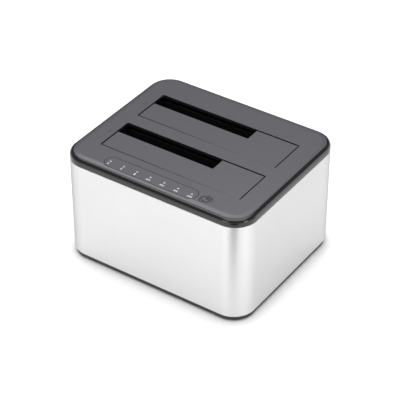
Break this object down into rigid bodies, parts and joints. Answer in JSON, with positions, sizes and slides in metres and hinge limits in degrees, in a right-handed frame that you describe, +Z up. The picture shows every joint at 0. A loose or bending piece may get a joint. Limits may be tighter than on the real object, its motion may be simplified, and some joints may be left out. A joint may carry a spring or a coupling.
{
  "type": "hard drive docking station",
  "caption": "Desktop drive dock with top-loading bays under sprung flaps, an aluminium sleeve, a row of indicator lamps and a power button.",
  "frame": {"origin": "on the table, below the centre of the body", "axes": "+X along the bays to the right as seen from the front, +Y to the back with the ports, +Z up"},
  "size_m": [0.134, 0.111, 0.0776],
  "materials": {
    "aluminium": "fine satin anodised",
    "gloss_black": "polished moulding",
    "satin_grey": "satin moulding",
    "dark_plastic": "fine moulded grain",
    "black_plastic": "plain moulding",
    "rubber": "matte",
    "steel": "plain",
    "contact_gold": "plated",
    "circuit_board": "solder mask",
    "component_black": "moulded",
    "capacitor_sleeve": "shrink sleeve",
    "port_blue": "moulded",
    "light_guide": "clear moulding, frosted ends",
    "ivory_plastic": "moulded"
  },
  "bodies": {
    "housing": {"outer_sleeve": "aluminium", "top_bezel": "gloss_black", "top_plate": "satin_grey", "indicator_strip": "satin_grey", "base_tray": "dark_plastic", "port_panel": "dark_plastic", "front_drive_well": "black_plastic", "rear_drive_well": "black_plastic", "front_drive_socket": "black_plastic", "rear_drive_socket": "black_plastic", "dc_jack": "black_plastic", "key_switch": "black_plastic", "rubber_feet": "rubber", "front_hinge_pin": "steel", "rear_hinge_pin": "steel", "front_flap_spring": "steel", "rear_flap_spring": "steel", "usb_shell": "steel", "dc_pin": "steel", "case_screws": "steel", "well_screws": "steel", "board_screws": "steel", "indicator_screws": "steel", "drive_socket_contacts": "contact_gold", "main_board": "circuit_board", "indicator_board": "circuit_board", "bridge_chips": "component_black", "power_coils": "component_black", "capacitors": "capacitor_sleeve", "usb_tongue": "port_blue", "light_guide": "light_guide", "indicator_lamps": "ivory_plastic", "ribbon_sockets": "ivory_plastic", "ribbon_cable": "ivory_plastic"},
    "front_flap": {"front_flap": "satin_grey"},
    "rear_flap": {"rear_flap": "satin_grey"},
    "power_button": {"power_button": "satin_grey", "key_plunger": "ivory_plastic"}
  },
  "joints": [
    {"name": "front_flap_hinge", "type": "hinge", "parent": "housing", "child": "front_flap", "pos_m": [0, -0.0362, 0.0746], "axis": [-1, 0, 0], "range_deg": [0, 90], "stiffness_Nm_per_rad": 0.004, "springref_deg": -45.84, "deforming": ["front_flap_spring"]},
    {"name": "rear_flap_hinge", "type": "hinge", "parent": "housing", "child": "rear_flap", "pos_m": [0, 0.0027, 0.0746], "axis": [-1, 0, 0], "range_deg": [0, 90], "stiffness_Nm_per_rad": 0.004, "springref_deg": -45.84, "deforming": ["rear_flap_spring"]},
    {"name": "button_press", "type": "slide", "parent": "housing", "child": "power_button", "axis": [0, 0, -1], "range_m": [0, 0.0005], "stiffness_N_per_m": 2500, "springref_m": -0.0003}
  ]
}
